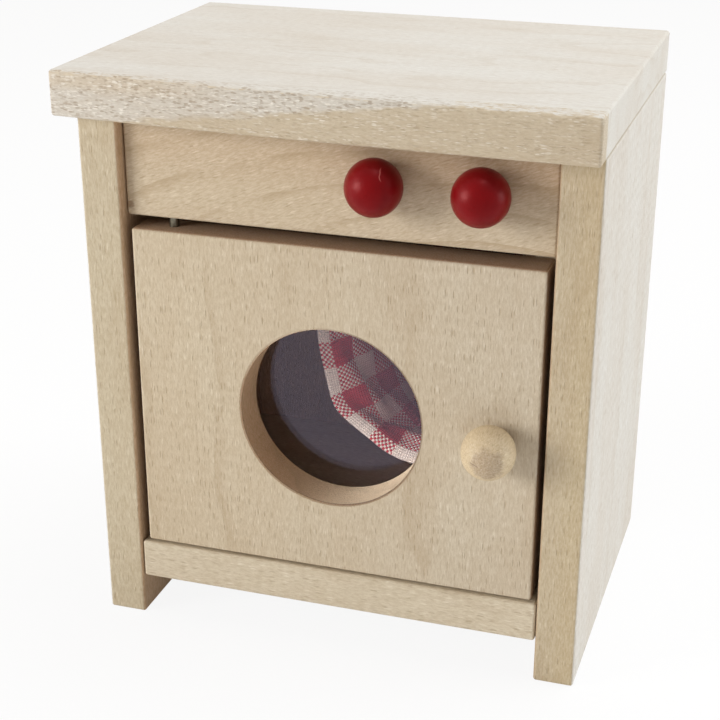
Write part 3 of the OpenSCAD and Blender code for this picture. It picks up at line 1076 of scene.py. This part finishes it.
def settle(sheet, flat, guide, pins):
    """Lets the sheet settle in the cabinet under its own weight."""
    room = inside_box()
    half = room["half"] / MM * SIM_SCALE * MM
    walls = [
        wall("stop_floor", (-half - 1, -2, -SIM_WALL), (half + 1, 1, 0.0)),
        wall("stop_back", (-half - 1, 0.0, -1), (half + 1, SIM_WALL, 2)),
        wall("stop_left", (-half - SIM_WALL, -2, -1), (-half, 1, 2)),
        wall("stop_right", (half, -2, -1), (half + SIM_WALL, 1, 2)),
    ]
    sheet.shape_key_add(name="Basis")
    rest = sheet.shape_key_add(name="rest")
    basis = sheet.data.shape_keys.key_blocks[0]
    for points, places in (
        (rest.data, flat), (sheet.data.vertices, guide), (basis.data, guide)
    ):
        for point, place in zip(points, places):
            point.co = place * SIM_SCALE * MM
    group = sheet.vertex_groups.new(name="pins")
    for index, weight in pins.items():
        group.add([index], weight, "REPLACE")
    cloth = sheet.modifiers.new("cloth", "CLOTH")
    for key, value in SIM_SETTINGS.items():
        setattr(cloth.settings, key, value)
    cloth.settings.effector_weights.gravity = SIM_GRAVITY
    cloth.settings.rest_shape_key = rest
    cloth.collision_settings.distance_min = SIM_GAP
    cloth.collision_settings.use_self_collision = False
    cloth.point_cache.frame_start = 1
    cloth.point_cache.frame_end = SIM_FRAMES
    scene = bpy.context.scene
    for step in range(1, SIM_FRAMES + 1):
        scene.frame_set(step)
    solved = sheet.evaluated_get(bpy.context.evaluated_depsgraph_get())
    places = [vert.co.copy() / (SIM_SCALE * MM) for vert in solved.data.vertices]
    scene.frame_set(1)
    for block in walls:
        bpy.data.objects.remove(block)
    sheet.modifiers.clear()
    sheet.shape_key_clear()
    return places


class TOYWASHER_OT_laundry(Operator):
    """Lays the checked cloth in the cabinet"""

    bl_idname = "toy_washer.laundry"
    bl_label = "Laundry"

    def execute(self, context):
        cloth = settings("cloth")
        room = inside_box()
        corners = [Vector((x, FRONT_EDGE_MM, z)) for x, z in CUT_EDGE_MM]
        edge = smooth_path(corners, 2)
        marks = {
            "floor": path_length(corners[:ON_FLOOR + 1]),
            "stripe": path_length(corners[:AT_STRIPE + 1]),
            "side": path_length(corners[:AT_SIDE + 1]),
        }
        length = path_length(edge)
        rows = round(SHEET_WIDTH_MM / SHEET_STEP_MM)
        columns = round(length / SHEET_STEP_MM)
        shape = bmesh.new()
        bmesh.ops.create_grid(shape, x_segments=rows, y_segments=columns, size=0.5)
        shape.verts.ensure_lookup_table()
        flat = [
            Vector(((v.co.x + 0.5) * SHEET_WIDTH_MM, (v.co.y + 0.5) * length, 0.0))
            for v in shape.verts
        ]
        layer = shape.loops.layers.uv.new("cloth")
        for face in shape.faces:
            for loop in face.loops:
                place = flat[loop.vert.index]
                loop[layer].uv = (place.x * UV_PER_MM, place.y * UV_PER_MM)
        mesh = bpy.data.meshes.new("laundry")
        shape.to_mesh(mesh)
        shape.free()
        sheet = bpy.data.objects.new("laundry", mesh)
        context.scene.collection.objects.link(sheet)
        guide = [sheet_guide(place.x, place.y, edge, marks) for place in flat]
        pins = {}
        for index, place in enumerate(flat):
            firm = place.x < FIRM_EDGE_MM and place.y > marks["floor"]
            pins[index] = 1.0 if firm else LOOSE_PIN
        places = settle(sheet, flat, guide, pins)
        corner = Vector((room["middle"], room["back"], room["floor"]))
        for vert, place in zip(mesh.vertices, places):
            vert.co = corner + place * MM
        mesh.update()
        thick = sheet.modifiers.new("thickness", "SOLIDIFY")
        thick.thickness = cloth.thickness
        thick.offset = 0.0
        soft = sheet.modifiers.new("soft", "SUBSURF")
        soft.levels = soft.render_levels = 1
        for face in mesh.polygons:
            face.use_smooth = True
        mesh.materials.append(self.gingham(cloth, marks["stripe"]).material)
        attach(sheet, "cabinet")
        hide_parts("laundry_cloth")
        return {"FINISHED"}

    def gingham(self, cloth, weft_start):
        """Plain weave: the upper thread of each crossing gives the colour, with painted shade
        between the threads and on the cloth further in.
        """
        finish = Finish("checked_cloth")
        source = finish.add("ShaderNodeUVMap", uv_map="cloth").outputs[0]
        parts = finish.add("ShaderNodeSeparateXYZ", {0: source}).outputs
        across, along = (finish.times(parts[i], 1.0 / UV_PER_MM) for i in (0, 1))
        check = cloth.check / MM
        thread = cloth.thread / MM
        warp = self.stripe(finish, across, FIRST_STRIPE_MM - 2.0 * check, check)
        weft = self.stripe(finish, along, weft_start - 2.1 - 20.0 * check, check)
        threads = [finish.maths("DIVIDE", place, thread) for place in (across, along)]
        numbers = [finish.maths("FLOOR", place) for place in threads]
        parity = finish.maths("MODULO", finish.maths("ADD", *numbers), 2.0)
        over = finish.maths("GREATER_THAN", parity, 0.5)
        upper = finish.maths(
            "ADD",
            finish.times(over, warp),
            finish.times(finish.maths("SUBTRACT", 1.0, over), weft),
        )
        insides = [finish.maths("PINGPONG", place, 0.5) for place in threads]
        bulge = finish.times(*(finish.span(inside, 0.0, 0.42) for inside in insides))
        place = finish.stretched(source, (1.0 / UV_PER_MM,) * 3)
        slub = finish.noise(finish.stretched(place, (0.5, 3.0, 1.0)), detail=3.0)
        slubs = finish.span(slub, 0.35, 0.7)
        white, red = (
            finish.mix(slubs, tuple(tint), tuple(part * share for part in tint))
            for tint, share in ((cloth.white, 0.86), (cloth.red, 0.80))
        )
        body = finish.mix(upper, white, red)
        # painted shade in the hollows between the threads
        weave_shade = finish.span(bulge, 0.55, 0.0, 0.0, 0.32)
        body = finish.mix(weave_shade, body, TINTS["painted weave shade"])
        # painted shade: from about 3 mm behind its front edge inwards the cloth turns darker
        # and redder, as if deeper in the cabinet's shade
        inner = finish.span(across, 2.6, 12.0, 0.0, 0.5)
        body = finish.mix(inner, body, TINTS["painted inner cloth shade"])
        finish.set(Base_Color=body, Roughness=0.85, Specular_IOR_Level=0.15)
        finish.set(Sheen_Weight=0.15, Sheen_Roughness=0.5)
        finish.bump(bulge, 0.6, 0.10 * MM)
        return finish

    def stripe(self, finish, distance, start, check):
        """1 on a red stripe and 0 on a white one."""
        moved = finish.maths("SUBTRACT", distance, start)
        turn = finish.maths("FRACT", finish.maths("DIVIDE", moved, 2.0 * check))
        return finish.maths("LESS_THAN", turn, 0.5)


# ---------------------------------------------------------------- running


class TOYWASHER_PT_panel(Panel):
    """Lists the steps and their settings"""

    bl_label = "Toy Washer"
    bl_space_type = "VIEW_3D"
    bl_region_type = "UI"
    bl_category = "Toy Washer"

    def draw(self, context):
        for step in STEPS:
            self.layout.operator(step.bl_idname)
        for name in GROUPS:
            box = self.layout.box()
            box.label(text=name.capitalize())
            group = settings(name)
            for key in type(group).__annotations__:
                box.prop(group, key)


GROUPS = {
    "wood": WoodSettings,
    "lacquer": LacquerSettings,
    "metal": MetalSettings,
    "pane": PaneSettings,
    "cloth": ClothSettings,
    "stage": StageSettings,
}
STEPS = (
    TOYWASHER_OT_stage,
    TOYWASHER_OT_camera,
    TOYWASHER_OT_boards,
    TOYWASHER_OT_back_panel,
    TOYWASHER_OT_knobs,
    TOYWASHER_OT_turned_parts,
    TOYWASHER_OT_metalwork,
    TOYWASHER_OT_window_pane,
    TOYWASHER_OT_laundry,
)


def register():
    """Adds the settings, the operators and the panel."""
    for name, group in GROUPS.items():
        bpy.utils.register_class(group)
        setattr(bpy.types.Scene, "toy_washer_" + name, PointerProperty(type=group))
    for step in STEPS:
        bpy.utils.register_class(step)
    bpy.utils.register_class(TOYWASHER_PT_panel)


def unregister():
    """Takes them away again."""
    bpy.utils.unregister_class(TOYWASHER_PT_panel)
    for step in reversed(STEPS):
        bpy.utils.unregister_class(step)
    for name, group in reversed(list(GROUPS.items())):
        delattr(bpy.types.Scene, "toy_washer_" + name)
        bpy.utils.unregister_class(group)


def main():
    """Runs every step in order."""
    register()
    for step in STEPS:
        family, action = step.bl_idname.split(".")
        getattr(getattr(bpy.ops, family), action)()


if __name__ == "__main__":
    main()
